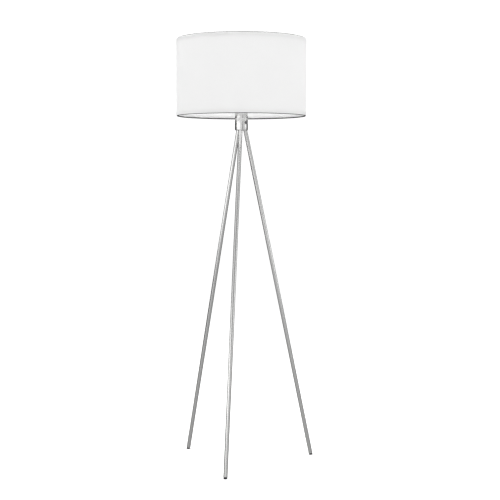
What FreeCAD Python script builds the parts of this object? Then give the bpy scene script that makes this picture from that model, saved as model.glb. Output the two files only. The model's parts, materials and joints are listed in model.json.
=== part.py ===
"""Tripod floor lamp: three straight tube legs screwed into a round hub that carries an E27
lampholder, a bulb and a white drum shade.

Millimetres and degrees.  +Z is up.  The origin is on the floor, under the lamp's own axis.
-Y is the front: one leg stands there, and the push switch looks out between it and the right leg.
One STEP file is written for each separate piece.
"""
import FreeCAD, Part
import math
import os

V = FreeCAD.Vector
UP = V(0, 0, 1)

# ------------------------------------------------------------------ overall sizes
total_height = 1474.0           # floor to the top of the shade's upper hoop
shade_diameter = 450.0
shade_height = 266.0            # from hoop to hoop, outside
hub_below_shade = 48.0          # from the lower hoop down to the hub's underside
foot_circle_radius = 263.0      # from the lamp's axis to the middle of each sole
sides = {"right": 30.0, "left": 150.0, "front": 270.0}      # direction of each leg
switch_angle = 330.0            # the switch is midway between the front and the right leg
shade_turn = 12.0               # the clamped shade stands turned round by this

# ------------------------------------------------------------------ hub and cup
hub_height = 42.0
hub_wall = 2.0
hub_floor = 16.0                # solid metal that the legs are screwed into
hub_edge = 1.2                  # chamfer of the hub's lower edge
seam_edge = 0.3                 # chamfers either side of the joint between hub and cup
cup_height = 36.0
cup_wall = 1.5
holder_in_cup_gap = 1.25        # all round the lampholder inside the cup
cup_floor = 2.0
spigot_depth = 1.5              # the cup's rib that centres it in the hub
spigot_wall = 1.0
spigot_gap = 0.2

# ------------------------------------------------------------------ legs
leg_diameter = 14.0
leg_wall = 1.0
socket_depth = 5.0              # how far a leg tube enters the hub, along the leg
socket_gap = 0.05
socket_rim = 0.9                # metal left between a socket and the hub's side
stud_radius = 5.0               # M10 x 1 hollow thread
stud_bore_radius = 3.5
stud_rise = 2.5                 # how far the studs stand above the hub's inner floor
stud_in_plug = 14.0
plug_length = 20.0
foot_inset = 0.8                # how much slimmer a foot is than its tube
foot_height = 5.5               # height of the middle of the tube's lower end
foot_insert_gap = 0.1
foot_insert_length = 14.0
sole_edge = 0.4

# ------------------------------------------------------------------ cord inlet
inlet_side = "right"
inlet_height = 60.0             # up the leg from its lower end
inlet_radius = 2.9
grommet_radius = 4.2
grommet_flange_radius = 5.2
grommet_outer_flange = 1.4
grommet_inner_flange = 2.6

# ------------------------------------------------------------------ push switch
switch_height = 26.6            # above the hub's underside
switch_seat_radius = 6.9
switch_seat_depth = 0.9
bezel_radius = 6.5
bezel_height = 2.0
bezel_flutes = 16
bezel_flute_radius = 0.35
barrel_radius = 5.0
barrel_gap = 0.1
barrel_in_bezel = 1.6
switch_body_radius = 6.0
switch_body_back = 5.0          # room left on the lamp's axis for the wires
switch_body_gap = 0.1           # from the body's front corners to the cavity's wall
button_radius = 3.7
button_gap = 0.08
button_proud = 2.8              # beyond the bezel
button_travel = 2.0
collar_radius = 4.2
collar_gap = 0.4
collar_length = 2.4
button_tail = 1.5
button_edge = 0.8
pocket_margin = 0.8             # free depth left behind the pressed button
tab_length = 2.0
tab_spacing = 4.4
tab_width = 4.4
tab_thickness = 0.8

# ------------------------------------------------------------------ terminal block and wires
block_wall_gap = 1.94           # from the block's far corners to the cavity's wall
block_depth = 8.0
block_width = 15.0
block_bottom = 22.0             # above the hub's underside
block_height = 10.0
block_screw_radius = 1.6
block_screw_depth = 3.0
block_screw_spacing = 7.0
wire_radius = 1.1
wire_bend = 2.5
wire_offset = 0.6               # of the rising wires behind the lamp's axis
live_wire_height = 25.0
neutral_wire_height = 28.5

# ------------------------------------------------------------------ bridge and nipple
bridge_drop = 3.0               # from the hub's top down to the bridge's top
bridge_thickness = 2.0
bridge_gap = 0.3
lug_depth = 7.5
lug_width = 7.0
lug_height = 10.0
screw_radius = 1.5
screw_gap = 0.2
screw_length = 8.0
screw_head_radius = 2.6
screw_head_height = 2.2
screw_slot = 0.7
lug_screw_inset = 4.3           # from the cavity's wall to the screw's axis
nipple_below_nut = 0.5
nipple_in_cap = 7.5
nut_flats = 14.0
nut_height = 3.5

# ------------------------------------------------------------------ lampholder
holder_gap = 1.0                # between the upper nut and the lampholder's cap
holder_radius = 19.75           # 39.5 mm outside thread of an E27 holder
holder_cap_height = 15.5
holder_cap_wall = 1.6
holder_cap_edge = 3.0
boss_radius = 7.5
skirt_wall = 1.75
skirt_height = 36.0
skirt_lip = 2.0
skirt_mouth_gap = 0.5           # the skirt's mouth beyond the shell inside it
insert_gap = 0.4
insert_below_skirt = 4.0
insert_height = 12.0
shell_gap = 0.3                 # all round the bulb's cap
shell_wall = 0.6
shell_height = 25.0
contact_width = 5.0
contact_length = 16.0
contact_thickness = 0.6
contact_tip_radius = 2.5
contact_tip_height = 1.2
holder_screw_radius = 1.75
holder_screw_depth = 4.0
holder_screw_place = 9.5

# ------------------------------------------------------------------ bulb, E27 cap
bulb_rest_gap = 0.3
bulb_length = 108.0
bulb_radius = 30.0
bulb_cap_radius = 13.2
bulb_cap_wall = 0.5
bulb_cap_bottom = 6.0           # above the contact's tip
bulb_cap_height = 19.5
bulb_contact_radius = 4.6
bulb_contact_height = 1.4
bulb_glass_inset = 1.7
bulb_neck_flare = 0.8           # the body's neck beyond the cap
bulb_neck_bottom = 26.5
bulb_body_top = 62.0
bulb_body_top_radius = 27.5
bulb_body_wall = 1.6
bulb_diffuser_wall = 1.5

# ------------------------------------------------------------------ shade and its frame
fabric_thickness = 0.6
lining_thickness = 0.5
hem_height = 11.0               # of the cloth turned in over the lining's edge
hoop_radius = 2.0               # bare 4 mm wire, glued inside the hem
hoop_proud = 2.0                # how far the hoops stand out beyond the cloth's folds
washer_thickness = 1.5
washer_gap = 0.5
washer_width = 9.25
spoke_radius = 1.75
spoke_start_gap = 1.0
spoke_level_length = 10.0
spoke_bend = 12.0
ring_nut_width = 8.2
ring_nut_taper = 4.0
ring_nut_height = 10.0
ring_nut_flange = 3.0
ring_nut_gap = 0.05
ring_nut_flutes = 36
ring_nut_flute_radius = 0.7

# ------------------------------------------------------------------ worked-out places
hub_radius = holder_radius + holder_in_cup_gap + cup_wall
hub_bottom = total_height - shade_height - hub_below_shade
hub_top = hub_bottom + hub_height
cavity_radius = hub_radius - hub_wall
cavity_floor = hub_bottom + hub_floor
leg_radius = leg_diameter / 2
leg_bore_radius = leg_radius - leg_wall
foot_radius = leg_radius - foot_inset
grommet_inner_depth = leg_bore_radius - grommet_inner_flange
socket_radius = leg_radius + socket_gap
leg_top_radius = hub_radius - socket_rim - socket_radius
leg_lean = math.atan2(foot_circle_radius - leg_top_radius, hub_bottom)
leg_lower_end = -(hub_bottom - foot_height) / math.cos(leg_lean)
shade_radius = shade_diameter / 2
shade_top = total_height
shade_bottom = total_height - shade_height
cup_top = hub_top + cup_height
cup_floor_top = hub_top + cup_floor
bridge_top = hub_top - bridge_drop
bridge_bottom = bridge_top - bridge_thickness
lower_nut_bottom = bridge_bottom - nut_height
upper_nut_top = cup_floor_top + nut_height
holder_bottom = upper_nut_top + holder_gap
nipple_bottom = lower_nut_bottom - nipple_below_nut
nipple_top = holder_bottom + nipple_in_cap
skirt_bottom = holder_bottom + holder_cap_height
skirt_top = skirt_bottom + skirt_height
insert_bottom = skirt_bottom - insert_below_skirt
insert_top = insert_bottom + insert_height
contact_top = insert_top + contact_thickness + contact_tip_height
bulb_tip = contact_top + bulb_rest_gap
washer_inner_radius = holder_radius + washer_gap
washer_radius = washer_inner_radius + washer_width
ring_nut_inner_radius = holder_radius + ring_nut_gap
ring_nut_radius = ring_nut_inner_radius + ring_nut_width
washer_top = cup_top + washer_thickness
lining_outer_radius = shade_radius - fabric_thickness
lining_inner_radius = lining_outer_radius - lining_thickness
hem_inner_radius = lining_inner_radius - fabric_thickness
fold_radius = (shade_radius - hem_inner_radius) / 2
top_fold_z = shade_top - hoop_proud - fold_radius
bottom_fold_z = shade_bottom + hoop_proud + fold_radius
fold_middle_radius = shade_radius - fold_radius
hoop_rise = max(0.0, hoop_proud + fold_radius - hoop_radius)    # of a hoop's centre past the fold's
hoop_centre_radius = fold_middle_radius - math.sqrt((hoop_radius + fold_radius) ** 2 - hoop_rise ** 2)
top_hoop_z = shade_top - hoop_radius
bottom_hoop_z = shade_bottom + hoop_radius
switch_z = hub_bottom + switch_height
switch_seat = hub_radius - switch_seat_depth
bezel_face = switch_seat + bezel_height
button_face = bezel_face + button_proud
switch_front = math.sqrt((cavity_radius - switch_body_gap) ** 2 - switch_body_radius ** 2)
tab_back = switch_body_back - tab_length
block_outer_face = math.sqrt((cavity_radius - block_wall_gap) ** 2 - (block_width / 2) ** 2)
block_inner_face = block_outer_face - block_depth       # behind the lamp's axis, seen from the switch
shell_radius = bulb_cap_radius + shell_gap
skirt_mouth_radius = shell_radius + shell_wall + skirt_mouth_gap
bulb_glass_radius = bulb_cap_radius - bulb_glass_inset
bulb_neck_radius = bulb_cap_radius + bulb_neck_flare


# ------------------------------------------------------------------ shape helpers
def disc(radius, bottom, top):
    """A cylinder on the Z axis between two heights."""
    return Part.makeCylinder(radius, top - bottom, V(0, 0, bottom))


def tube(outer, inner, bottom, top):
    """A round wall on the Z axis between two heights."""
    return disc(outer, bottom, top).cut(disc(inner, bottom - 1, top + 1))


def along_x(radius, start, end, y=0.0, z=0.0):
    """A cylinder along the X axis between two distances."""
    return Part.makeCylinder(radius, end - start, V(start, y, z), V(1, 0, 0))


def box(x0, x1, y0, y1, z0, z1):
    return Part.makeBox(x1 - x0, y1 - y0, z1 - z0, V(x0, y0, z0))


def turned(outline):
    """Revolve a closed outline of (radius, height) points about the Z axis."""
    points = [V(r, 0, z) for r, z in outline]
    face = Part.Face(Part.makePolygon(points + points[:1]))
    return face.revolve(V(0, 0, 0), UP, 360)


def turned_edges(edges):
    """Revolve a closed run of edges, drawn in the XZ plane, about the Z axis."""
    return Part.Face(Part.Wire(edges)).revolve(V(0, 0, 0), UP, 360)


def line(a, b):
    return Part.makeLine(V(a[0], 0, a[1]), V(b[0], 0, b[1]))


def arc(a, through, b):
    return Part.Arc(V(a[0], 0, a[1]), V(through[0], 0, through[1]), V(b[0], 0, b[1])).toShape()


def spun(shape, angle):
    """A copy turned about the Z axis."""
    copy = shape.copy()
    copy.rotate(V(0, 0, 0), UP, angle)
    return copy


def fluted(shape, count, flute):
    """Cut evenly spaced copies of one flute out of a shape."""
    for i in range(count):
        shape = shape.cut(spun(flute, 360.0 * i / count))
    return shape


def hexagon(flats, bore, bottom, top):
    """A hexagon nut on the Z axis."""
    corner = flats / math.sqrt(3)
    points = [FreeCAD.Rotation(UP, 60 * i).multVec(V(corner, 0, bottom)) for i in range(7)]
    block = Part.Face(Part.makePolygon(points)).extrude(V(0, 0, top - bottom))
    return block.cut(disc(bore, bottom - 1, top + 1))


def round_wire(points, radius, bend):
    """A round wire through points, with every corner bent to the same radius."""
    edges = []
    start = points[0]
    for before, corner, after in zip(points, points[1:], points[2:]):
        back = (before - corner).normalize()
        ahead = (after - corner).normalize()
        half = back.getAngle(ahead) / 2
        reach = bend / math.tan(half)
        inner = (back + ahead).normalize()
        centre = corner + inner * (bend / math.sin(half))
        edges.append(Part.makeLine(start, corner + back * reach))
        end = corner + ahead * reach
        edges.append(Part.Arc(corner + back * reach, centre - inner * bend, end).toShape())
        start = end
    edges.append(Part.makeLine(start, points[-1]))
    section = Part.Wire(Part.makeCircle(radius, points[0], points[1] - points[0]))
    return Part.Wire(edges).makePipeShell([section], True, True)


def on_leg(shape, side):
    """Place a shape drawn on the Z axis onto a leg: z = 0 goes to where the leg crosses the hub's
    underside, +Z runs up the leg and +X points outwards."""
    copy = shape.copy()
    lean = FreeCAD.Rotation(V(0, 1, 0), -math.degrees(leg_lean))
    copy.Placement = FreeCAD.Placement(V(leg_top_radius, 0, hub_bottom), lean)
    return spun(copy, sides[side])


def at_switch(shape):
    """Place a shape drawn with +X pointing out through the switch."""
    return spun(shape, switch_angle)


# ------------------------------------------------------------------ hub and its contents
def make_hub():
    body = turned([(0, hub_bottom), (hub_radius - hub_edge, hub_bottom),
                   (hub_radius, hub_bottom + hub_edge), (hub_radius, hub_top - seam_edge),
                   (hub_radius - seam_edge, hub_top),
                   (cavity_radius, hub_top), (cavity_radius, cavity_floor), (0, cavity_floor)])
    lug_outer = cavity_radius + hub_wall / 4
    for sign in (1, -1):
        lug = box(-lug_width / 2, lug_width / 2, cavity_radius - lug_depth, lug_outer,
                  bridge_bottom - lug_height, bridge_bottom)
        hole = Part.makeCylinder(screw_radius, lug_height, V(0, cavity_radius - lug_screw_inset,
                                                             bridge_bottom - screw_length))
        lug = lug.cut(hole)
        body = body.fuse(spun(lug, switch_angle + (0 if sign > 0 else 180)))
    past_floor = (hub_floor + stud_rise) / math.cos(leg_lean) + stud_radius
    for side in sides:
        body = body.cut(on_leg(disc(socket_radius, -leg_diameter, socket_depth), side))
        body = body.cut(on_leg(disc(stud_radius, 0, past_floor), side))
    body = body.cut(at_switch(along_x(switch_seat_radius, switch_seat, 2 * hub_radius, z=switch_z)))
    body = body.cut(at_switch(along_x(barrel_radius + barrel_gap, 0, 2 * hub_radius, z=switch_z)))
    return body.removeSplitter()


def make_switch_body():
    pocket_radius = collar_radius + button_gap
    pocket_front = switch_front + collar_gap
    pocket_back = pocket_front - collar_gap - collar_length - button_tail - button_travel - pocket_margin
    body = along_x(switch_body_radius, switch_body_back, switch_front, z=switch_z)
    body = body.fuse(along_x(barrel_radius, switch_front, switch_seat + barrel_in_bezel, z=switch_z))
    body = body.cut(along_x(pocket_radius, pocket_back, pocket_front, z=switch_z))
    return at_switch(body.cut(along_x(button_radius + button_gap, pocket_front, button_face, z=switch_z)))


def make_switch_button():
    collar_front = switch_front
    collar_back = collar_front - collar_length
    stem = along_x(button_radius, collar_back - button_tail, button_face, z=switch_z)
    crown = [e for e in stem.Edges if e.BoundBox.XMin > button_face - 0.01]
    stem = stem.makeFillet(button_edge, crown)
    return at_switch(stem.fuse(along_x(collar_radius, collar_back, collar_front, z=switch_z)))


def make_switch_bezel():
    ring = along_x(bezel_radius, switch_seat, bezel_face, z=switch_z)
    ring = ring.cut(along_x(barrel_radius, switch_seat, switch_seat + barrel_in_bezel, z=switch_z))
    ring = ring.cut(along_x(button_radius + 3 * button_gap, switch_seat, bezel_face + 1, z=switch_z))
    flute = along_x(bezel_flute_radius, switch_seat - 1, bezel_face + 1, y=bezel_radius, z=switch_z)
    for i in range(bezel_flutes):
        groove = flute.copy()
        groove.rotate(V(0, 0, switch_z), V(1, 0, 0), 360.0 * i / bezel_flutes)
        ring = ring.cut(groove)
    return at_switch(ring)


def make_switch_tabs():
    tabs = [box(tab_back, switch_body_back, y - tab_thickness / 2, y + tab_thickness / 2,
                switch_z - tab_width / 2, switch_z + tab_width / 2)
            for y in (-tab_spacing / 2, tab_spacing / 2)]
    return at_switch(Part.makeCompound(tabs))


def block_screw_places():
    x = -(block_inner_face + block_outer_face) / 2
    return [(x, -block_screw_spacing / 2), (x, block_screw_spacing / 2)]


def make_terminal_block():
    bottom = hub_bottom + block_bottom
    top = bottom + block_height
    body = box(-block_outer_face, -block_inner_face, -block_width / 2, block_width / 2, bottom, top)
    for x, y in block_screw_places():
        hole_bottom = V(x, y, top - block_screw_depth)
        body = body.cut(Part.makeCylinder(block_screw_radius, block_screw_depth, hole_bottom))
    return at_switch(body)


def make_terminal_screws():
    top = hub_bottom + block_bottom + block_height
    screws = []
    for x, y in block_screw_places():
        screw = Part.makeCylinder(block_screw_radius, block_screw_depth, V(x, y, top - block_screw_depth))
        slot = box(x - screw_slot / 2, x + screw_slot / 2, y - 2, y + 2, top - screw_slot, top + 1)
        screws.append(screw.cut(slot))
    return at_switch(Part.makeCompound(screws))


def make_live_wire():
    z = hub_bottom + live_wire_height
    return at_switch(along_x(wire_radius, -block_inner_face, tab_back, y=-tab_spacing / 2, z=z))


def make_neutral_wire():
    z = hub_bottom + neutral_wire_height
    y = -tab_spacing / 2
    return at_switch(round_wire([V(-block_inner_face, y, z), V(-wire_offset, y, z),
                                 V(-wire_offset, y, insert_bottom)], wire_radius, wire_bend))


def make_switched_wire():
    y = tab_spacing / 2
    return at_switch(round_wire([V(tab_back, y, switch_z), V(-wire_offset, y, switch_z),
                                 V(-wire_offset, y, insert_bottom)], wire_radius, wire_bend))


def make_bridge_plate():
    plate = disc(cavity_radius - bridge_gap, bridge_bottom, bridge_top)
    plate = plate.cut(disc(stud_radius, bridge_bottom - 1, bridge_top + 1))
    hole = Part.makeCylinder(screw_radius + screw_gap, bridge_thickness,
                             V(0, cavity_radius - lug_screw_inset, bridge_bottom))
    return at_switch(plate.cut(hole).cut(spun(hole, 180)))


def make_bridge_screws():
    place = cavity_radius - lug_screw_inset
    shank = Part.makeCylinder(screw_radius, screw_length + bridge_thickness,
                              V(0, place, bridge_bottom - screw_length))
    head = Part.makeCylinder(screw_head_radius, screw_head_height, V(0, place, bridge_top))
    slot = box(-screw_slot / 2, screw_slot / 2, place - 4, place + 4,
               bridge_top + screw_head_height - screw_slot, bridge_top + screw_head_height + 1)
    screw = shank.fuse(head).cut(slot)
    return at_switch(Part.makeCompound([screw, spun(screw, 180)]))


def make_nipple():
    return tube(stud_radius, stud_bore_radius, nipple_bottom, nipple_top)


def make_nipple_nuts():
    return Part.makeCompound([hexagon(nut_flats, stud_radius, lower_nut_bottom, bridge_bottom),
                              hexagon(nut_flats, stud_radius, cup_floor_top, upper_nut_top)])


def make_cup():
    inner = hub_radius - cup_wall
    rib = cavity_radius - spigot_gap
    rib_bottom = hub_top - spigot_depth
    return turned([(stud_radius, hub_top), (rib - spigot_wall, hub_top), (rib - spigot_wall, rib_bottom),
                   (rib, rib_bottom), (rib, hub_top), (hub_radius - seam_edge, hub_top),
                   (hub_radius, hub_top + seam_edge), (hub_radius, cup_top), (inner, cup_top),
                   (inner, cup_floor_top), (stud_radius, cup_floor_top)])


# ------------------------------------------------------------------ legs
def make_leg(side):
    leg = on_leg(tube(leg_radius, leg_bore_radius, leg_lower_end, socket_depth), side)
    if side == inlet_side:
        leg = leg.cut(inlet_bar(grommet_radius))
    return leg


def inlet_bar(radius):
    """A bar square to the leg through its rear side at the cord inlet."""
    bar = Part.makeCylinder(radius, leg_diameter, V(0, 0, leg_lower_end + inlet_height), V(0, 1, 0))
    return on_leg(bar, inlet_side)


def make_leg_plug(side):
    return on_leg(tube(leg_bore_radius, stud_radius, socket_depth - plug_length, socket_depth), side)


def make_leg_stud(side):
    top = (hub_floor + stud_rise - stud_radius * math.sin(leg_lean)) / math.cos(leg_lean)
    return on_leg(tube(stud_radius, stud_bore_radius, socket_depth - stud_in_plug, top), side)


def make_foot(side):
    floor = -hub_bottom / math.cos(leg_lean)
    foot = disc(foot_radius, floor - foot_radius, leg_lower_end)
    insert_top_end = leg_lower_end + foot_insert_length
    foot = foot.fuse(disc(leg_bore_radius - foot_insert_gap, leg_lower_end, insert_top_end))
    foot = on_leg(foot, side)
    reach = 2 * foot_circle_radius
    foot = foot.cut(box(-reach, reach, -reach, reach, -leg_diameter, 0))
    sole = [e for e in foot.Edges if e.BoundBox.ZMax < 0.01]
    return foot.makeChamfer(sole_edge, sole)


def make_cord_grommet():
    centre = leg_lower_end + inlet_height
    length = leg_radius + grommet_outer_flange - grommet_inner_depth
    flanges = Part.makeCylinder(grommet_flange_radius, length,
                                V(0, grommet_inner_depth, centre), V(0, 1, 0))
    flanges = flanges.cut(tube(leg_radius, leg_bore_radius, leg_lower_end, socket_depth))
    neck = Part.makeCylinder(grommet_radius, leg_radius - grommet_inner_depth,
                             V(0, grommet_inner_depth, centre), V(0, 1, 0))
    bore = Part.makeCylinder(inlet_radius, leg_diameter, V(0, 0, centre), V(0, 1, 0))
    return on_leg(flanges.fuse(neck).cut(bore).removeSplitter(), inlet_side)


# ------------------------------------------------------------------ lampholder
def make_holder_cap():
    inner = holder_radius - holder_cap_wall
    crown = holder_bottom + holder_cap_wall
    return turned([(stud_radius, holder_bottom), (holder_radius - holder_cap_edge, holder_bottom),
                   (holder_radius, holder_bottom + holder_cap_edge), (holder_radius, skirt_bottom),
                   (inner, skirt_bottom), (inner, crown + holder_cap_edge),
                   (inner - holder_cap_edge, crown), (boss_radius, crown), (boss_radius, nipple_top),
                   (stud_radius, nipple_top)])


def holder_screws():
    return Part.makeCompound([Part.makeCylinder(holder_screw_radius, holder_screw_depth,
                                                V(0, y, insert_bottom)) for y in
                              (-holder_screw_place, holder_screw_place)])


def make_holder_insert():
    radius = holder_radius - max(skirt_wall, holder_cap_wall) - insert_gap
    return disc(radius, insert_bottom, insert_top).cut(holder_screws())


def make_holder_shell():
    return tube(shell_radius + shell_wall, shell_radius, insert_top, insert_top + shell_height)


def make_holder_contact():
    strip = box(-contact_length / 2, contact_length / 2, -contact_width / 2, contact_width / 2,
                insert_top, insert_top + contact_thickness)
    return strip.fuse(disc(contact_tip_radius, insert_top + contact_thickness, contact_top))


def make_holder_skirt():
    inner = holder_radius - skirt_wall
    lip_bottom = skirt_top - skirt_lip
    return turned([(holder_radius, skirt_bottom), (holder_radius, skirt_top),
                   (skirt_mouth_radius, skirt_top), (skirt_mouth_radius, lip_bottom),
                   (inner, lip_bottom), (inner, skirt_bottom)])


# ------------------------------------------------------------------ bulb
def make_bulb_contact():
    return disc(bulb_contact_radius, bulb_tip, bulb_tip + bulb_contact_height)


def make_bulb_insulator():
    bottom = bulb_tip + bulb_contact_height
    top = bulb_tip + bulb_cap_bottom
    return turned([(0, bottom), (bulb_contact_radius, bottom), (bulb_glass_radius, top), (0, top)])


def make_bulb_cap():
    bottom = bulb_tip + bulb_cap_bottom
    return tube(bulb_cap_radius, bulb_cap_radius - bulb_cap_wall, bottom, bottom + bulb_cap_height).fuse(
        tube(bulb_cap_radius, bulb_glass_radius - 1, bottom, bottom + bulb_cap_wall))


def make_bulb_body():
    bottom = bulb_tip + bulb_neck_bottom
    top = bulb_tip + bulb_body_top
    plug = bulb_cap_radius - bulb_cap_wall
    plug_bottom = bulb_tip + bulb_cap_bottom + bulb_cap_wall
    shoulder = bulb_tip + bulb_cap_bottom + bulb_cap_height
    inner = bulb_body_wall
    return turned([(plug - inner, plug_bottom), (plug, plug_bottom), (plug, shoulder),
                   (bulb_neck_radius, shoulder), (bulb_neck_radius, bottom), (bulb_body_top_radius, top),
                   (bulb_body_top_radius - inner, top), (bulb_neck_radius - inner, bottom + inner),
                   (plug - inner, bottom)])


def make_bulb_diffuser():
    joint = bulb_tip + bulb_body_top
    top = bulb_tip + bulb_length
    centre = top - bulb_radius
    inner_radius = bulb_radius - bulb_diffuser_wall
    widest = (bulb_radius, centre)
    flank = (bulb_radius / math.sqrt(2), centre + bulb_radius / math.sqrt(2))
    inner_flank = (inner_radius / math.sqrt(2), centre + inner_radius / math.sqrt(2))
    rim = bulb_body_top_radius
    return turned_edges([line((rim - bulb_diffuser_wall, joint), (rim, joint)), line((rim, joint), widest),
                         arc(widest, flank, (0, top)), line((0, top), (0, centre + inner_radius)),
                         arc((0, centre + inner_radius), inner_flank, (inner_radius, centre)),
                         line((inner_radius, centre), (rim - bulb_diffuser_wall, joint))])


# ------------------------------------------------------------------ shade
def hem(fold_z, turn):
    """Half the fabric's outline: the cloth folded in over one edge of the lining.

    turn is +1 at the top edge and -1 at the bottom.  The edges run from the cloth's outside, over
    the fold to the hem's cut end, and back along the cloth's inside.
    """
    end = fold_z + turn * (fold_radius - hem_height)
    outside_top = (fold_middle_radius, fold_z + turn * fold_radius)
    inside_top = (fold_middle_radius, fold_z + turn * (fold_radius - fabric_thickness))
    return [arc((shade_radius, fold_z), outside_top, (hem_inner_radius, fold_z)),
            line((hem_inner_radius, fold_z), (hem_inner_radius, end)),
            line((hem_inner_radius, end), (lining_inner_radius, end)),
            line((lining_inner_radius, end), (lining_inner_radius, fold_z)),
            arc((lining_inner_radius, fold_z), inside_top, (lining_outer_radius, fold_z))]


def make_shade_fabric():
    outside = line((shade_radius, bottom_fold_z), (shade_radius, top_fold_z))
    inside = line((lining_outer_radius, top_fold_z), (lining_outer_radius, bottom_fold_z))
    edges = [outside] + hem(top_fold_z, 1) + [inside] + hem(bottom_fold_z, -1)
    return turned_edges(Part.sortEdges(edges)[0])


def make_shade_lining():
    return tube(lining_outer_radius, lining_inner_radius, bottom_fold_z, top_fold_z)


def make_hoop(height):
    return Part.makeTorus(hoop_centre_radius, hoop_radius, V(0, 0, height))


def make_shade_washer():
    return tube(washer_radius, washer_inner_radius, cup_top, washer_top)


def make_shade_spoke(number):
    """One bent wire from the underside of the washer out to the bottom hoop."""
    start = hub_radius + spoke_start_gap
    level = cup_top - spoke_radius
    path = [V(start, 0, level), V(start + spoke_level_length, 0, level),
            V(hoop_centre_radius, 0, bottom_hoop_z)]
    spoke = spun(round_wire(path, spoke_radius, spoke_bend), 90 + shade_turn + 120 * number)
    return spoke.cut(make_hoop(bottom_hoop_z))


def make_shade_ring_nut():
    crown = ring_nut_radius - ring_nut_taper
    flange_top = washer_top + ring_nut_flange
    top = washer_top + ring_nut_height
    ring = turned([(ring_nut_inner_radius, washer_top), (ring_nut_radius, washer_top),
                   (ring_nut_radius, flange_top), (crown, top), (ring_nut_inner_radius, top)])
    flute = Part.makeCylinder(ring_nut_flute_radius, ring_nut_height + 2,
                              V(ring_nut_radius, 0, washer_top - 1))
    return fluted(ring, ring_nut_flutes, flute)


# ------------------------------------------------------------------ the list of pieces
def make_all():
    pieces = {
        "hub": make_hub(),
        "hub_cup": make_cup(),
        "switch_body": make_switch_body(),
        "switch_button": make_switch_button(),
        "switch_bezel": make_switch_bezel(),
        "switch_tabs": make_switch_tabs(),
        "terminal_block": make_terminal_block(),
        "terminal_screws": make_terminal_screws(),
        "live_wire": make_live_wire(),
        "neutral_wire": make_neutral_wire(),
        "switched_wire": make_switched_wire(),
        "bridge_plate": make_bridge_plate(),
        "bridge_screws": make_bridge_screws(),
        "nipple": make_nipple(),
        "nipple_nuts": make_nipple_nuts(),
        "cord_grommet": make_cord_grommet(),
        "holder_cap": make_holder_cap(),
        "holder_insert": make_holder_insert(),
        "holder_screws": holder_screws(),
        "holder_shell": make_holder_shell(),
        "holder_contact": make_holder_contact(),
        "holder_skirt": make_holder_skirt(),
        "bulb_contact": make_bulb_contact(),
        "bulb_insulator": make_bulb_insulator(),
        "bulb_cap": make_bulb_cap(),
        "bulb_body": make_bulb_body(),
        "bulb_diffuser": make_bulb_diffuser(),
        "shade_fabric": make_shade_fabric(),
        "shade_lining": make_shade_lining(),
        "shade_top_hoop": make_hoop(top_hoop_z),
        "shade_bottom_hoop": make_hoop(bottom_hoop_z),
        "shade_washer": make_shade_washer(),
        "shade_ring_nut": make_shade_ring_nut(),
    }
    for number in range(3):
        pieces[f"shade_spoke_{number + 1}"] = make_shade_spoke(number)
    for side in sides:
        pieces[f"{side}_leg"] = make_leg(side)
        pieces[f"{side}_leg_plug"] = make_leg_plug(side)
        pieces[f"{side}_leg_stud"] = make_leg_stud(side)
        pieces[f"{side}_foot"] = make_foot(side)
    return pieces


os.makedirs("parts", exist_ok=True)
for name, shape in make_all().items():
    shape.exportStep(f"parts/{name}.step")
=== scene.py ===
"""Looks for the tripod floor lamp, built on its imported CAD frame.

Metres.  +Z is up, -Y is the front leg.  The metal tubes, hub, cup, feet, cloth, hoops and threads
are rebuilt as smooth detailed pieces in their CAD places; the other CAD nodes stay and get
materials.  Stage panels that only reflections see give the metal its light and dark bands.
"""
import json
import math

import bmesh
import bpy
import numpy as np
from mathutils import Matrix, Vector


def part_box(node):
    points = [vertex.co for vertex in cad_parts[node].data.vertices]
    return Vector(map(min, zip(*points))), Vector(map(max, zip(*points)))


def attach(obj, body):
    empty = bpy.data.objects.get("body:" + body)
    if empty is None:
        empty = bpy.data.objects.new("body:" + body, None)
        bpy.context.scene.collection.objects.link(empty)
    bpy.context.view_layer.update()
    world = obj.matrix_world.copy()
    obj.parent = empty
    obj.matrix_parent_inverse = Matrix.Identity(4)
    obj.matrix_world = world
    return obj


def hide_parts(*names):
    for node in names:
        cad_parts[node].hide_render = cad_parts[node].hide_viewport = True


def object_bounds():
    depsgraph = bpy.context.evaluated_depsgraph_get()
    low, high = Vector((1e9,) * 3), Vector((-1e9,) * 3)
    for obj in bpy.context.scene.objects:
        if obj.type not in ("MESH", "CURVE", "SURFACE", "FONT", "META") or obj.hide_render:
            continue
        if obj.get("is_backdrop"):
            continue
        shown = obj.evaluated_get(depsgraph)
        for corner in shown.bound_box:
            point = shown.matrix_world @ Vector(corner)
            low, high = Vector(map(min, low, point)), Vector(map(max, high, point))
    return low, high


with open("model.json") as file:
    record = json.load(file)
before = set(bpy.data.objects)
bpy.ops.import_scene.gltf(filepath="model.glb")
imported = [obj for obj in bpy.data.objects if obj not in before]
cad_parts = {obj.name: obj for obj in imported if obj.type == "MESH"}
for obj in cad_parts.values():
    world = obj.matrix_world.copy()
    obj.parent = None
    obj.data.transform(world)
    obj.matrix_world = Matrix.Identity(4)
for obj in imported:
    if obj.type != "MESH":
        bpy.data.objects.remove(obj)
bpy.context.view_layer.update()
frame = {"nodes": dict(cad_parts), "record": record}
nodes = frame["nodes"]
mounts = {m["name"]: m for m in frame["record"]["mounts"]}
scene = bpy.context.scene
MM = 0.001

# ------------------------------------------------------------------ places
hub_low, hub_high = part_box("hub")
cup_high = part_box("hub_cup")[1]
shade_low, shade_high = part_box("shade_fabric")
skirt_low, skirt_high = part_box("holder_skirt")
bulb_cap_low, bulb_cap_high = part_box("bulb_cap")
bezel_low, bezel_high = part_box("switch_bezel")

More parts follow.
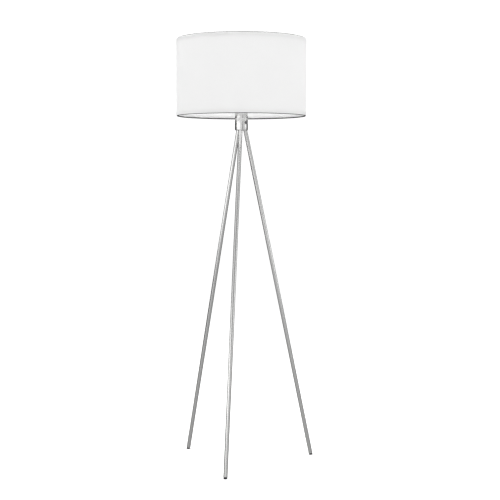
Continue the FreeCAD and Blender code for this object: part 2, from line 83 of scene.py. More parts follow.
hub_radius = hub_high.x
hub_bottom, hub_top, cup_top = hub_low.z, hub_high.z, cup_high.z
hub_wall = 2.0 * MM
hub_floor = 16.0 * MM           # solid metal that the legs are screwed into
hub_edge = 1.8 * MM             # rounding of the hub's lower edge
seam_edge = 0.35 * MM           # rounding either side of the joint between hub and cup
cavity_radius = hub_radius - hub_wall
cavity_floor = hub_bottom + hub_floor
cup_wall = 1.5 * MM
cup_floor = 2.0 * MM
spigot_depth = 1.5 * MM         # the cup's rib that centres it in the hub
spigot_wall = 1.0 * MM
spigot_gap = 0.2 * MM
nipple_hole = 5.0 * MM          # radius of the hole in the cup's floor

leg_radius = 7.0 * MM
leg_bore = 6.0 * MM
socket_radius = 7.05 * MM
socket_depth = 5.0 * MM         # how far a leg tube enters the hub, along the leg
socket_rim = 0.9 * MM           # metal left between a socket and the hub's side
stud_radius = 5.0 * MM
foot_height = 5.5 * MM          # height of the middle of the tube's lower end
foot_radius = 6.2 * MM
plug_radius = 5.9 * MM          # the foot's ribbed plug, inside the tube
plug_length = 14.0 * MM
plug_ribs = 5
rib_pitch = 2.2 * MM
rib_depth = 0.5 * MM
sole_bevel = 0.45 * MM
inlet_height = 60.0 * MM        # of the cord's hole, up the leg from its lower end
inlet_radius = 4.2 * MM
leg_top_radius = hub_radius - socket_rim - socket_radius
sides = ("right", "left", "front")
soles = {side: Vector(mounts[f"{side}_sole"]["pos_m"]) for side in sides}
foot_circle = soles["right"].length
leg_lean = math.atan2(foot_circle - leg_top_radius, hub_bottom)
leg_lower_end = -(hub_bottom - foot_height) / math.cos(leg_lean)
switch_centre = (bezel_low + bezel_high) / 2
switch_angle = math.atan2(switch_centre.y, switch_centre.x)
switch_seat_radius = 6.9 * MM
switch_seat_depth = 0.9 * MM
barrel_radius = 5.1 * MM
barrel_start = 10.0 * MM        # inside the hub's cavity

shade_radius = shade_high.x
cloth = 0.6 * MM
film = 0.5 * MM
fold = cloth + film / 2         # half the thickness of a folded edge
fold_line = fold - cloth / 2
top_fold_z = shade_high.z - fold
bottom_fold_z = shade_low.z + fold
hem = 11.0 * MM
seam_angle = math.radians(102)  # the cloth's lap and the hoops' welds, at the back
seam_width = 12.0 * MM


# ------------------------------------------------------------------ mesh helpers
def new_object(name, mesh):
    piece = bpy.data.objects.new(name, mesh)
    scene.collection.objects.link(piece)
    return piece


def smooth_mesh(mesh, angle=32.0):
    """Smooth shading with every edge sharper than angle kept crisp."""
    bm = bmesh.new()
    bm.from_mesh(mesh)
    limit = math.radians(angle)
    for edge in bm.edges:
        edge.smooth = len(edge.link_faces) != 2 or edge.calc_face_angle(0.0) < limit
    for face in bm.faces:
        face.smooth = True
    bm.to_mesh(mesh)
    bm.free()


def grid_mesh(name, points, uv):
    """A closed mesh of quads from points[i][j], i round the piece and j round its outline."""
    points = np.asarray(points)
    count_i, count_j = points.shape[:2]
    i, j = np.meshgrid(np.arange(count_i), np.arange(count_j), indexing="ij")
    i2, j2 = (i + 1) % count_i, (j + 1) % count_j
    faces = np.stack([i * count_j + j, i2 * count_j + j, i2 * count_j + j2, i * count_j + j2], -1)
    mesh = bpy.data.meshes.new(name)
    mesh.from_pydata(points.reshape(-1, 3).tolist(), [], faces.reshape(-1, 4).tolist())
    layer = mesh.uv_layers.new(name="UVMap")
    corners = [uv(i, j), uv(i + 1, j), uv(i + 1, j + 1), uv(i, j + 1)]
    flat = np.stack([np.stack(c, -1) for c in corners], 2).reshape(-1)
    layer.data.foreach_set("uv", flat.astype(np.float32))
    return mesh


def rounded(outline, steps):
    """A closed outline of (radius, height, corner radius) with its corners rounded."""
    points = []
    for k, (x, y, size) in enumerate(outline):
        corner = Vector((x, y))
        if size == 0:
            points.append((x, y))
            continue
        before = Vector(outline[k - 1][:2]) - corner
        after = Vector(outline[(k + 1) % len(outline)][:2]) - corner
        half = before.angle(after) / 2
        reach = min(size / math.tan(half), before.length * 0.49, after.length * 0.49)
        start, end = corner + before.normalized() * reach, corner + after.normalized() * reach
        for step in range(steps + 1):
            t = step / steps
            p = start * (1 - t) ** 2 + corner * 2 * t * (1 - t) + end * t * t
            points.append((p.x, p.y))
    return points


def turned(name, outline, segments, place=None):
    """A closed outline of (radius, height) turned about Z, its UV in metres round and along."""
    outline = [(max(r, 0.0), z) for r, z in outline]
    along = [0.0]
    for k in range(len(outline)):
        a, b = outline[k], outline[(k + 1) % len(outline)]
        along.append(along[-1] + math.hypot(b[0] - a[0], b[1] - a[1]))
    along = np.array(along)
    radius = max(r for r, z in outline)
    turns = np.arange(segments) * 2 * math.pi / segments
    points = [[(r * math.cos(t), r * math.sin(t), z) for r, z in outline] for t in turns]
    mesh = grid_mesh(name, points, lambda i, j: (i * 2 * math.pi / segments * radius, along[j]))
    bm = bmesh.new()
    bm.from_mesh(mesh)
    bmesh.ops.remove_doubles(bm, verts=bm.verts, dist=1e-7)
    bmesh.ops.dissolve_degenerate(bm, edges=bm.edges, dist=1e-8)
    bmesh.ops.recalc_face_normals(bm, faces=bm.faces)
    bm.to_mesh(mesh)
    bm.free()
    if place is not None:
        mesh.transform(place)
    smooth_mesh(mesh)
    return new_object(name, mesh)


def drill(piece, cutters):
    """Cut the cutters out of a piece and take them away."""
    for cutter in cutters:
        change = piece.modifiers.new("cut", "BOOLEAN")
        change.operation = "DIFFERENCE"
        change.solver = "EXACT"
        change.object = cutter
    bpy.context.view_layer.update()
    graph = bpy.context.evaluated_depsgraph_get()
    mesh = bpy.data.meshes.new_from_object(piece.evaluated_get(graph))
    piece.modifiers.clear()
    old, piece.data = piece.data, mesh
    mesh.name = piece.name
    bpy.data.meshes.remove(old)
    for cutter in cutters:
        bpy.data.objects.remove(cutter)
    smooth_mesh(piece.data)


def bar(name, radius, start, end, place, segments=96):
    """A plain round bar on Z from start to end, used only as a cutter."""
    return turned(name, [(0, start), (radius, start), (radius, end), (0, end)], segments, place)


def leg_place(side):
    """z = 0 where the leg meets the hub's underside, +Z up the leg and +X outwards."""
    turn = math.atan2(soles[side].y, soles[side].x)
    top = Vector((leg_top_radius * math.cos(turn), leg_top_radius * math.sin(turn), hub_bottom))
    return Matrix.Translation(top) @ Matrix.Rotation(turn, 4, "Z") @ Matrix.Rotation(-leg_lean, 4, "Y")


def switch_place():
    """+Z points out through the switch."""
    return (Matrix.Translation((0, 0, switch_centre.z)) @ Matrix.Rotation(switch_angle, 4, "Z")
            @ Matrix.Rotation(math.radians(90), 4, "Y"))


def ring(name, centre_radius, wire_radius, height):
    """A round wire hoop with a slightly swollen butt weld at the back."""
    around, across = 360, 20
    weld_rise, weld_reach = 0.12 * MM, 1.6 * MM

    def point(i, j):
        turn = 2 * math.pi * i / around
        off = (turn - seam_angle + math.pi) % (2 * math.pi) - math.pi
        swell = weld_rise * math.exp(-(off * centre_radius / weld_reach) ** 2)
        size = wire_radius - weld_rise + swell
        tilt = 2 * math.pi * j / across
        r = centre_radius + size * math.cos(tilt)
        return (r * math.cos(turn), r * math.sin(turn), height + size * math.sin(tilt))

    def uv(i, j):
        return (i * 2 * math.pi / around * centre_radius, j * 2 * math.pi / across * wire_radius)

    points = [[point(i, j) for j in range(across)] for i in range(around)]
    mesh = grid_mesh(name, points, uv)
    smooth_mesh(mesh, 180)
    return new_object(name, mesh)


# ------------------------------------------------------------------ material helpers
class Paint:
    """A Principled material and short calls to wire its nodes."""

    def __init__(self, name, color, roughness, metallic=0.0, coords="Object", **inputs):
        self.mat = bpy.data.materials.new(name)
        self.mat.use_nodes = True
        self.tree = self.mat.node_tree
        self.shader = self.tree.nodes["Principled BSDF"]
        self.output = self.tree.nodes["Material Output"]
        self.coords = self.add("ShaderNodeTexCoord").outputs[coords]
        self.set("Base Color", (*color, 1))
        self.set("Roughness", roughness)
        self.set("Metallic", metallic)
        for key, value in inputs.items():
            self.set(key.replace("_", " "), value)

    def set(self, key, value):
        self.shader.inputs[key].default_value = value

    def add(self, kind, **settings):
        node = self.tree.nodes.new(kind)
        for key, value in settings.items():
            setattr(node, key, value)
        return node

    def link(self, a, b):
        self.tree.links.new(a, b)

    def noise(self, scale, stretch=(1, 1, 1), detail=3.0):
        mapping = self.add("ShaderNodeMapping")
        mapping.inputs["Scale"].default_value = stretch
        self.link(self.coords, mapping.inputs["Vector"])
        texture = self.add("ShaderNodeTexNoise")
        texture.inputs["Scale"].default_value = scale
        texture.inputs["Detail"].default_value = detail
        texture.inputs["Roughness"].default_value = 0.55
        self.link(mapping.outputs["Vector"], texture.inputs["Vector"])
        return texture.outputs["Fac"]

    def wave(self, pitch, direction, distortion):
        """Sine ridges with a pitch in the material's own coordinates."""
        texture = self.add("ShaderNodeTexWave", wave_type="BANDS", bands_direction=direction)
        texture.inputs["Scale"].default_value = 2 * math.pi / pitch / 20
        texture.inputs["Distortion"].default_value = distortion
        self.link(self.coords, texture.inputs["Vector"])
        return texture.outputs["Fac"]

    def ranged(self, value, low, high):
        """Stretch a noise's usual span, 0.3 to 0.7, to low and high."""
        node = self.add("ShaderNodeMapRange")
        node.inputs["From Min"].default_value = 0.3
        node.inputs["From Max"].default_value = 0.7
        node.inputs["To Min"].default_value = low
        node.inputs["To Max"].default_value = high
        self.link(value, node.inputs["Value"])
        return node.outputs["Result"]

    def maths(self, operation, a, b):
        node = self.add("ShaderNodeMath", operation=operation)
        for socket, value in zip(node.inputs, (a, b)):
            if isinstance(value, (int, float)):
                socket.default_value = value
            else:
                self.link(value, socket)
        return node.outputs["Value"]

    def color(self, factor, a, b):
        """Base colour between a and b.  The Mix node's colour sockets are 6 and 7, its result 2."""
        node = self.add("ShaderNodeMix", data_type="RGBA")
        self.link(factor, node.inputs["Factor"])
        node.inputs[6].default_value = (*a, 1)
        node.inputs[7].default_value = (*b, 1)
        self.link(node.outputs[2], self.shader.inputs["Base Color"])
        return node.outputs[2]

    def rough(self, factor, low, high):
        self.link(self.ranged(factor, low, high), self.shader.inputs["Roughness"])

    def bump(self, height, distance, strength):
        node = self.add("ShaderNodeBump")
        node.inputs["Strength"].default_value = strength
        node.inputs["Distance"].default_value = distance
        self.link(height, node.inputs["Height"])
        self.link(node.outputs["Normal"], self.shader.inputs["Normal"])
        return node.outputs["Normal"]


def nickel(name, around, along, roughness, lathe=0.0):
    """Satin nickel plate: fine grain lines and faint clouding.  Turned parts spread their
    highlights across the grain, along the lamp's axis."""
    paint = Paint(name, (0.735, 0.735, 0.73), roughness, 1.0, coords="UV", Anisotropic=lathe,
                  Anisotropic_Rotation=0.25)
    if lathe:
        tangent = paint.add("ShaderNodeTangent", direction_type="RADIAL", axis="Z")
        paint.link(tangent.outputs["Tangent"], paint.shader.inputs["Tangent"])
    grain = paint.noise(1.0, (around, along, 1), detail=2.0)
    cloud = paint.noise(18.0, (1, 1, 1), detail=3.0)
    paint.color(cloud, (0.72, 0.72, 0.715), (0.75, 0.75, 0.745))
    both = paint.maths("ADD", paint.maths("MULTIPLY", grain, 0.6),
                       paint.maths("MULTIPLY", cloud, 0.4))
    paint.rough(both, roughness - 0.03, roughness + 0.04)
    paint.bump(grain, 0.000004, 0.5)
    return paint.mat


def plated(name, color, roughness):
    """A small plated or plain metal part: clouding and fine directionless tool marks."""
    paint = Paint(name, color, roughness, 1.0)
    marks = paint.noise(1500.0, detail=4.0)
    cloud = paint.noise(120.0, detail=2.0)
    paint.color(cloud, tuple(c * 0.93 for c in color), tuple(min(1.0, c * 1.05) for c in color))
    paint.rough(marks, roughness * 0.8, roughness * 1.3)
    paint.bump(marks, 0.00001, 0.4)
    return paint.mat


def moulded(name, color, roughness, grain=2500.0, depth=0.00002, spread=0.05, **inputs):
    """Moulded plastic, rubber, ceramic or glass: fine surface grain and slight colour clouding."""
    paint = Paint(name, color, roughness, **inputs)
    fine = paint.noise(grain, detail=3.0)
    cloud = paint.noise(90.0, detail=2.0)
    paint.color(cloud, tuple(c * (1 - spread) for c in color),
                tuple(min(1.0, c * (1 + spread)) for c in color))
    paint.rough(fine, roughness * 0.85, min(1.0, roughness * 1.15))
    paint.bump(fine, depth, 0.5)
    return paint.mat


def see_light(paint, tint, normal):
    """Mix the Principled shader with as much Translucent, so that light comes through the sheet."""
    through = paint.add("ShaderNodeBsdfTranslucent")
    paint.link(tint, through.inputs["Color"])
    paint.link(normal, through.inputs["Normal"])
    mix = paint.add("ShaderNodeMixShader")
    mix.inputs["Fac"].default_value = 0.5
    paint.link(paint.shader.outputs["BSDF"], mix.inputs[1])
    paint.link(through.outputs["BSDF"], mix.inputs[2])
    paint.link(mix.outputs["Shader"], paint.output.inputs["Surface"])


# ------------------------------------------------------------------ materials
def woven_cloth():
    """Plain woven polyester: threads 0.84 mm apart both ways, uneven yarn and long soft slubs."""
    thread_pitch = 0.84 * MM
    paint = Paint("white_fabric", (0.915, 0.915, 0.915), 0.85, coords="UV", Sheen_Weight=0.12,
                  Sheen_Roughness=0.5, Specular_IOR_Level=0.25)
    warp = paint.wave(thread_pitch, "X", 0.6)
    weft = paint.wave(thread_pitch, "Y", 0.6)
    threads = paint.maths("MAXIMUM", warp, weft)
    slub_weft = paint.noise(1.0, (55, 2600, 1), detail=3.0)
    slub_warp = paint.noise(1.0, (2600, 55, 1), detail=3.0)
    slubs = paint.maths("ADD", paint.maths("MULTIPLY", slub_weft, 0.6),
                        paint.maths("MULTIPLY", slub_warp, 0.4))
    tint = paint.color(paint.ranged(slubs, 0.0, 1.0), (0.9, 0.9, 0.899), (0.928, 0.928, 0.927))
    height = paint.maths("ADD", paint.maths("MULTIPLY", threads, 0.7),
                         paint.maths("MULTIPLY", slubs, 0.6))
    normal = paint.bump(height, 0.00007, 0.55)
    paint.rough(slubs, 0.8, 0.92)
    see_light(paint, tint, normal)
    return paint.mat


def white_film():
    """The stiff white film that the cloth is laminated to."""
    paint = Paint("white_lining", (0.96, 0.96, 0.96), 0.5, Specular_IOR_Level=0.3)
    cloud = paint.noise(14.0, detail=3.0)
    fine = paint.noise(1400.0, detail=3.0)
    tint = paint.color(cloud, (0.95, 0.95, 0.95), (0.97, 0.97, 0.97))
    paint.rough(fine, 0.42, 0.56)
    normal = paint.bump(fine, 0.00003, 0.4)
    see_light(paint, tint, normal)
    return paint.mat


def opal_dome():
    """The bulb's diffuser: milky plastic with a little depth."""
    paint = Paint("bulb_opal", (0.78, 0.775, 0.76), 0.42, Subsurface_Weight=0.15)
    paint.set("Subsurface Radius", (0.004, 0.004, 0.0035))
    fine = paint.noise(1800.0, detail=2.0)
    cloud = paint.noise(60.0, detail=2.0)
    paint.color(cloud, (0.77, 0.765, 0.75), (0.79, 0.785, 0.77))
    paint.rough(fine, 0.38, 0.48)
    paint.bump(fine, 0.00001, 0.3)
    return paint.mat


turned_nickel = nickel("satin_nickel_turned", 40, 5200, 0.17, 0.7)
drawn_nickel = nickel("satin_nickel_drawn", 5200, 25, 0.2)
finishes = {
    "satin_nickel": turned_nickel,
    "black_rubber": moulded("black_rubber", (0.012, 0.012, 0.013), 0.7, 1400.0, 0.00004, 0.2,
                            Specular_IOR_Level=0.25),
    "charcoal_plastic": moulded("charcoal_plastic", (0.11, 0.11, 0.112), 0.3, 2600.0, 0.00001, 0.15),
    "white_fabric": woven_cloth(),
    "white_lining": white_film(),
    "black_wire": moulded("black_wire", (0.008, 0.008, 0.009), 0.6, 900.0, 0.00004, 0.2,
                          Specular_IOR_Level=0.12),
    "white_plastic": moulded("white_plastic", (0.74, 0.735, 0.715), 0.38, 2200.0, 0.00002, 0.02),
    "white_ceramic": moulded("white_ceramic", (0.8, 0.79, 0.75), 0.62, 1100.0, 0.00005, 0.03),
    "zinc_steel": plated("zinc_steel", (0.62, 0.63, 0.645), 0.32),
    "brass": plated("brass", (0.82, 0.62, 0.30), 0.3),
    "brown_insulation": moulded("brown_insulation", (0.16, 0.07, 0.03), 0.45),
    "blue_insulation": moulded("blue_insulation", (0.03, 0.11, 0.42), 0.45),
    "black_insulation": moulded("black_insulation", (0.015, 0.015, 0.015), 0.45),
    "bulb_metal": plated("bulb_metal", (0.80, 0.795, 0.77), 0.26),
    "bulb_black_glass": moulded("bulb_black_glass", (0.012, 0.012, 0.014), 0.12, 700.0),
    "bulb_white_body": moulded("bulb_white_body", (0.76, 0.758, 0.745), 0.3, 1800.0, 0.00001, 0.02),
    "bulb_opal": opal_dome(),
}
for part in frame["record"]["subparts"]:
    mesh = nodes[part["node"]].data
    mesh.materials.clear()
    mesh.materials.append(finishes[part["material_slot"]])


def place_piece(piece, material, body, node):
    """Give a piece its material, body and slot, and let it stand for a CAD node."""
    piece.data.materials.clear()
    piece.data.materials.append(material)
    for face in piece.data.polygons:
        face.material_index = 0
    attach(piece, body)
    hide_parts(node)


# ------------------------------------------------------------------ hub and cup
def make_hub():
    outline = rounded([(0, hub_bottom, 0), (hub_radius, hub_bottom, hub_edge),
                       (hub_radius, hub_top, seam_edge), (cavity_radius, hub_top, 0.2 * MM),
                       (cavity_radius, cavity_floor, 0), (0, cavity_floor, 0)], 5)
    hub = turned("hub_shell", outline, 256)
    cutters = []
    for side in sides:
        cutters.append(bar("socket", socket_radius, -14 * MM, socket_depth, leg_place(side)))
        cutters.append(bar("stud_hole", stud_radius, 0, 25 * MM, leg_place(side)))
    seat_floor = hub_radius - switch_seat_depth
    cutters.append(bar("seat", switch_seat_radius, seat_floor, 2 * hub_radius, switch_place()))
    cutters.append(bar("barrel", barrel_radius, barrel_start, 2 * hub_radius, switch_place()))
    drill(hub, cutters)
    place_piece(hub, turned_nickel, "stand", "hub")


def make_cup():
    inner = hub_radius - cup_wall
    rib = cavity_radius - spigot_gap
    rib_inner, rib_bottom = rib - spigot_wall, hub_top - spigot_depth
    floor_top = hub_top + cup_floor
    outline = rounded([(nipple_hole, hub_top, 0), (rib_inner, hub_top, 0),
                       (rib_inner, rib_bottom, 0), (rib, rib_bottom, 0), (rib, hub_top, 0),
                       (hub_radius, hub_top, seam_edge), (hub_radius, cup_top, 0.3 * MM),
                       (inner, cup_top, 0.3 * MM), (inner, floor_top, 2 * MM),
                       (nipple_hole, floor_top, 0)], 5)
    cup = turned("hub_cup_shell", outline, 256)
    place_piece(cup, turned_nickel, "stand", "hub_cup")


make_hub()
make_cup()


# ------------------------------------------------------------------ legs and feet
def make_leg(side):
    place = leg_place(side)
    outline = rounded([(leg_bore, leg_lower_end, 0.2 * MM), (leg_radius, leg_lower_end, 0.3 * MM),
                       (leg_radius, socket_depth, 0.1 * MM), (leg_bore, socket_depth, 0.1 * MM)], 3)
    leg = turned(f"{side}_leg_tube", outline, 96, place)
    if side == "right":
        up_the_leg = Matrix.Translation((0, 0, leg_lower_end + inlet_height))
        across = up_the_leg @ Matrix.Rotation(math.radians(-90), 4, "X")
        drill(leg, [bar("inlet", inlet_radius, 0, 2 * leg_radius, place @ across, 64)])
    place_piece(leg, drawn_nickel, "stand", f"{side}_leg")


def make_foot(side):
    """A moulded rubber end: ribbed plug up the tube, small collar and a flat bevelled sole."""
    place = leg_place(side)
    groove_radius = plug_radius - rib_depth
    below_floor = -hub_bottom / math.cos(leg_lean) - foot_radius
    top = leg_lower_end + plug_length
    outline = [(0, below_floor, 0), (foot_radius, below_floor, 0),
               (foot_radius, leg_lower_end, 0.25 * MM), (plug_radius, leg_lower_end, 0)]
    for rib in range(plug_ribs):
        z = leg_lower_end + 2.0 * MM + rib * rib_pitch
        outline += [(plug_radius, z, 0.1 * MM), (groove_radius, z + 0.5 * MM, 0.1 * MM),
                    (groove_radius, z + 1.2 * MM, 0)]
    outline += [(groove_radius, top, 0.6 * MM), (0, top, 0)]
    foot = turned(f"{side}_foot_rubber", rounded(outline, 3), 96, place)
    bm = bmesh.new()
    bm.from_mesh(foot.data)
    cut = bmesh.ops.bisect_plane(bm, geom=bm.verts[:] + bm.edges[:] + bm.faces[:],
                                 plane_co=(0, 0, 0), plane_no=(0, 0, -1), clear_outer=True)
    open_edge = [e for e in cut["geom_cut"] if isinstance(e, bmesh.types.BMEdge)]
    bmesh.ops.contextual_create(bm, geom=open_edge)
    rim = [e for e in bm.edges if all(abs(v.co.z) < 1e-7 for v in e.verts) and len(e.link_faces) == 2]
    bmesh.ops.bevel(bm, geom=rim, offset=sole_bevel, segments=3, profile=0.5, affect="EDGES")
    bmesh.ops.recalc_face_normals(bm, faces=bm.faces)
    bm.to_mesh(foot.data)
    bm.free()
    smooth_mesh(foot.data)
    place_piece(foot, finishes["black_rubber"], "stand", f"{side}_foot")


for leg_side in sides:
    make_leg(leg_side)
    make_foot(leg_side)


# ------------------------------------------------------------------ threads
def threaded(name, outline, low, high, depth, pitch, segments):
    """A turned outline whose points between two heights follow a round helical thread.

    The thread is cut inwards from the outline's own radius and fades out at both ends."""
    lead = 1.5 * MM
    point_spacing = 0.4 * MM
    points = []
    for i in range(segments):
        turn = 2 * math.pi * i / segments
        column = []
        for r, z, cut in outline:
            fade = min(1.0, max(0.0, (z - low) / lead), max(0.0, (high - z) / lead))
            wave = 0.5 - 0.5 * math.cos(2 * math.pi * (z / pitch - turn / (2 * math.pi)))
            radius = r - cut * depth * fade * wave
            column.append((radius * math.cos(turn), radius * math.sin(turn), z))
        points.append(column)
    along = np.concatenate([[0], np.cumsum([point_spacing] * len(outline))])
    size = max(r for r, z, cut in outline)
    mesh = grid_mesh(name, points, lambda i, j: (i * 2 * math.pi / segments * size, along[j]))
    smooth_mesh(mesh, 50)
    return new_object(name, mesh)


def column(radius, start, end, count):
    """A straight wall of close points that the thread is cut into."""
    return [(radius, start + (end - start) * k / count, 1) for k in range(count + 1)]


def make_bulb_cap():
    """E27 screw cap of thin sheet: the thread shows outside and inside alike."""
    low, high = bulb_cap_low.z, bulb_cap_high.z
    outer = bulb_cap_high.x
    inner = outer - 0.5 * MM
    base = 10.0 * MM
    outline = [(base, low, 0), (outer - 0.8 * MM, low, 0), (outer - 0.25 * MM, low + 0.2 * MM, 0)]
    outline += column(outer, low + 0.5 * MM, high - 0.1 * MM, 90)
    outline += [(outer - 0.15 * MM, high, 0), (inner, high, 0)]
    outline += column(inner - 0.02 * MM, high - 0.2 * MM, low + 0.5 * MM, 90)
    outline += [(base, low + 0.5 * MM, 0)]
    cap = threaded("bulb_cap_thread", outline, low + 1.0 * MM, high - 2.5 * MM, 1.0 * MM,
                   3.62 * MM, 120)
    place_piece(cap, finishes["bulb_metal"], "bulb", "bulb_cap")


def make_holder_skirt():
    low, high = skirt_low.z, skirt_high.z
    outer = max(skirt_high.x, skirt_high.y)
    inner, mouth = outer - 1.75 * MM, 14.6 * MM
    outline = [(outer - 0.3 * MM, low, 0)] + column(outer, low + 0.3 * MM, high - 0.5 * MM, 170)
    outline += [(outer - 0.15 * MM, high - 0.15 * MM, 0), (outer - 0.5 * MM, high, 0),
                (mouth + 0.4 * MM, high, 0), (mouth, high - 0.4 * MM, 0), (mouth, high - 2 * MM, 0),
                (inner, high - 2 * MM, 0), (inner, low, 0)]
    skirt = threaded("holder_skirt_thread", outline, low + 2 * MM, high - 3 * MM, 0.75 * MM,
                     2.5 * MM, 160)
    place_piece(skirt, finishes["white_plastic"], "stand", "holder_skirt")


make_bulb_cap()
make_holder_skirt()


# ------------------------------------------------------------------ shade
hem_steps, fold_steps, wall_steps = 8, 12, 40


def cloth_line():
    """The middle of the cloth's thickness as (radius, height) with its outward direction: hem,
    fold, outer wall, fold, hem, from the top cut end to the bottom one."""
    middle = shade_radius - fold
    inside, outside = middle - fold_line, middle + fold_line
    wall_height = top_fold_z - bottom_fold_z
    line = [(inside, top_fold_z + fold - hem + (hem - fold) * k / hem_steps, -1, 0)
            for k in range(hem_steps)]
    for k in range(fold_steps + 1):
        a = math.pi * (1 - k / fold_steps)
        line.append((middle + fold_line * math.cos(a), top_fold_z + fold_line * math.sin(a),
                     math.cos(a), math.sin(a)))
    line += [(outside, top_fold_z - wall_height * k / wall_steps, 1, 0) for k in range(1, wall_steps)]
    for k in range(fold_steps + 1):
        a = -math.pi * k / fold_steps
        line.append((middle + fold_line * math.cos(a), bottom_fold_z + fold_line * math.sin(a),
                     math.cos(a), math.sin(a)))
    line += [(inside, bottom_fold_z - fold + hem - (hem - fold) * k / hem_steps, -1, 0)
             for k in reversed(range(hem_steps))]
    return line


def make_shade_cloth():
    """One sheet with its real thickness.  At the back its end laps over its start, so the outer
    wall steps out by one thickness there and eases back beyond the lap."""
    columns = 384
    lap_rise = 0.55 * MM
    wall_wave = 0.02 * MM
    hem_wave = 0.12 * MM
    edge_fade = 4.0 * MM            # the wall's waves and lap fade out this close to a fold
    line = cloth_line()
    lengths = [0.0]
    for a, b in zip(line, line[1:]):
        lengths.append(lengths[-1] + math.hypot(b[0] - a[0], b[1] - a[1]))
    around = 2 * math.pi * shade_radius
    shares = list(np.linspace(0, 1, columns + 1)[:-1])
    shares += [0.00006] + [step * seam_width / around for step in (0.5, 1.0, 1.6)]
    shares.sort()
    soft = np.random.default_rng(7)
    waves = [(k, soft.uniform(0, 2 * math.pi), soft.uniform(0.3, 1.0)) for k in (5, 9, 14, 23)]
    hem_waves = [(k, soft.uniform(0, 2 * math.pi), soft.uniform(0.3, 1.0)) for k in (11, 19, 31)]

    def lap(share):
        """Extra thickness just beyond the lapped edge."""
        away = share * around
        if share == 0:
            return 0.0
        if away <= seam_width:
            return 1.0
        return max(0.0, 1 - (away - seam_width) / (2.5 * seam_width)) ** 2

    outer_points, inner_points = [], []
    for share in shares:
        turn = seam_angle + 2 * math.pi * share
        wobble = sum(a * math.sin(k * turn + p) for k, p, a in waves) * wall_wave
        ragged = sum(a * math.sin(k * turn + p) for k, p, a in hem_waves) * hem_wave
        cos, sin = math.cos(turn), math.sin(turn)
        outer_row, inner_row = [], []
        for k, (r, z, nr, nz) in enumerate(line):
            wall = 1.0 if nr == 1 and bottom_fold_z < z < top_fold_z else 0.0
            from_fold = min(top_fold_z - z, z - bottom_fold_z)
            inset = min(1.0, from_fold / edge_fade) if wall else 0.0
            extra = lap(share) * lap_rise * (0.35 + 0.65 * inset if wall else 0.35 * max(nr, 0.0))
            shift = (wobble - wall_wave) * inset
            end = 1 - min(k, len(line) - 1 - k) / hem_steps
            dz = ragged * max(0.0, end) * (-1 if k < len(line) / 2 else 1) * (0 if nr > 0 else 1)
            for row, side, more in ((outer_row, 0.5, extra), (inner_row, -0.5, 0.0)):
                rr = r + shift + nr * (side * cloth + more)
                row.append((rr * cos, rr * sin, z + dz + nz * (side * cloth + more)))
        outer_points.append(outer_row)
        inner_points.append(inner_row)
    loops = [a + b[::-1] for a, b in zip(outer_points, inner_points)]
    along = np.array(lengths + lengths[::-1] + [0.0])
    turns = np.array(shares + [1.0]) * around
    mesh = grid_mesh("shade_cloth", loops, lambda i, j: (turns[i], along[j]))
    bm = bmesh.new()
    bm.from_mesh(mesh)
    bmesh.ops.recalc_face_normals(bm, faces=bm.faces)
    bm.to_mesh(mesh)
    bm.free()
    smooth_mesh(mesh, 45)
    piece = new_object("shade_cloth", mesh)
    place_piece(piece, finishes["white_fabric"], "stand", "shade_fabric")
    return piece, lengths[-1]


shade_cloth, cloth_height = make_shade_cloth()
for edge in ("top", "bottom"):
    low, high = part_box(f"shade_{edge}_hoop")
    wire = (high.z - low.z) / 2
    hoop = ring(f"shade_{edge}_wire", high.x - wire, wire, (low.z + high.z) / 2)
    place_piece(hoop, finishes["black_wire"], "stand", f"shade_{edge}_hoop")

# ------------------------------------------------------------------ camera
view_turn = math.radians(11.76)          # to the lamp's right of straight ahead
view_distance, view_height = 4.075, 1.004
tilt_down = math.radians(3.654)
aim_right = math.radians(0.42)
camera_data = bpy.data.cameras.new("camera")
camera_data.sensor_width = 36.0
camera_data.lens = 84.14
camera_data.clip_end = 100.0
camera = bpy.data.objects.new("camera", camera_data)
camera.location = (view_distance * math.sin(view_turn), -view_distance * math.cos(view_turn),
                   view_height)
camera.rotation_euler = (math.radians(90) - tilt_down, 0, view_turn - aim_right)
scene.collection.objects.link(camera)
scene.camera = camera

# ------------------------------------------------------------------ stage
scene.view_settings.view_transform = "Standard"
world = bpy.data.worlds.new("studio")
world.use_nodes = True
world.node_tree.nodes["Background"].inputs["Color"].default_value = (1, 1, 1, 1)
world.node_tree.nodes["Background"].inputs["Strength"].default_value = 1.12
scene.world = world


def floor_paint():
    paint = Paint("studio_floor", (0.93, 0.93, 0.93), 0.9)
    paint.set("Specular IOR Level", 0.0)
    fine = paint.noise(60.0, detail=2.0)
    paint.rough(fine, 0.85, 0.95)
    return paint.mat


def flat_card(name, half, height):
    """A level square, half as wide as it says, round the lamp's axis."""
    mesh = bpy.data.meshes.new(name)
    mesh.from_pydata([(-half, -half, height), (half, -half, height), (half, half, height),
                      (-half, half, height)], [], [(0, 1, 2, 3)])
    return new_object(name, mesh)


floor = flat_card("studio_floor", 14.0, -0.0002)
floor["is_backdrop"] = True
floor.data.materials.append(floor_paint())
floor.visible_glossy = False


def glow(name, strength):
    mat = bpy.data.materials.new(name)
    mat.use_nodes = True
    tree = mat.node_tree
    tree.nodes.remove(tree.nodes["Principled BSDF"])
    light = tree.nodes.new("ShaderNodeEmission")
    light.inputs["Strength"].default_value = strength
    tree.links.new(light.outputs["Emission"], tree.nodes["Material Output"].inputs["Surface"])
    return mat


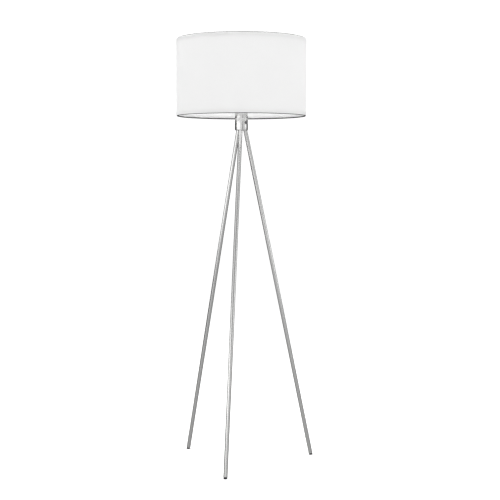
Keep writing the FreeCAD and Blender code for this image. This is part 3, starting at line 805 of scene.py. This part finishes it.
def only_reflected(card, brightness):
    """Let a card glow for reflections alone."""
    card.data.materials.append(glow(card.name, brightness))
    for ray in ("camera", "diffuse", "transmission", "volume_scatter", "shadow"):
        setattr(card, f"visible_{ray}", False)
    card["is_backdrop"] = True


def panel(name, start, end, low, high, brightness):
    """A curved upright card.  Its angles are from the camera's own direction, positive towards
    the picture's right."""
    steps = max(2, int((end - start) / 4))
    verts, faces = [], []
    for k in range(steps + 1):
        turn = math.radians(start + (end - start) * k / steps) + view_turn
        x, y = card_distance * math.sin(turn), -card_distance * math.cos(turn)
        verts += [(x, y, low), (x, y, high)]
        if k:
            faces.append((2 * k - 2, 2 * k, 2 * k + 1, 2 * k - 1))
    mesh = bpy.data.meshes.new(name)
    mesh.from_pydata(verts, [], faces)
    only_reflected(new_object(name, mesh), brightness)


card_distance = 12.0
only_reflected(flat_card("underneath", card_distance, -9.0), 0.4)
# name, first and last angle, lowest and highest point, brightness
cards = [
    ("flag_left", -152, -93, 0.2, 2.4, 0.0),
    ("flag_left_low", -152, -64, -1.8, 0.2, 0.02),
    ("flag_left_lowest", -152, -64, -9.0, -1.8, 0.3),
    ("flag_left_high", -152, -93, 2.4, 9.0, 0.15),
    ("box_left", -93, -27, 0.2, 2.6, 1.75),
    ("card_left", -27, -10, 0.2, 2.6, 1.05),
    ("card_middle", -10, 10, -0.9, 2.8, 0.98),
    ("card_right", 10, 27, -0.6, 2.8, 0.34),
    ("card_far_right", 27, 60, -0.6, 2.8, 0.74),
    ("box_right", 63, 102, 0.9, 2.8, 1.6),
    ("flag_right", 103, 152, -9.0, 2.4, 0.0),
    ("flag_right_high", 103, 152, 2.4, 9.0, 0.2),
    ("rear", 152, 208, -9.0, 9.0, 0.42),
    ("high_left", -93, -10, 2.6, 9.0, 0.72),
    ("high_middle", -10, 34, 2.8, 9.0, 0.28),
    ("high_right", 34, 103, 2.8, 9.0, 0.72),
    ("low_left", -64, -10, -2.2, 0.2, 0.9),
    ("lower_left", -64, -10, -4.2, -2.2, 0.62),
    ("lowest_left", -64, -10, -9.0, -4.2, 0.5),
    ("low_middle", -10, 10, -9.0, -0.9, 0.5),
    ("low_right", 10, 62, -3.2, -0.6, 0.62),
    ("lower_right", 10, 62, -9.0, -3.2, 0.42),
    ("low_far_right", 62, 103, -9.0, 0.9, 0.45),
]
for card in cards:
    panel(*card)


def softbox(name, place, size, power):
    """A square light aimed at the lamp's upper part."""
    data = bpy.data.lights.new(name, "AREA")
    data.shape = "SQUARE"
    data.size = size
    data.energy = power
    light = bpy.data.objects.new(name, data)
    light.location = place
    light.rotation_euler = (Vector(place) - Vector((0, 0, 1.2))).to_track_quat("Z", "Y").to_euler()
    light.visible_camera = False
    light.visible_glossy = False
    scene.collection.objects.link(light)


softbox("top_light", (0.0, 0.2, 3.6), 2.4, 42)
softbox("shade_light", (0.0, 0.0, 2.7), 0.4, 24)

low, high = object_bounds()
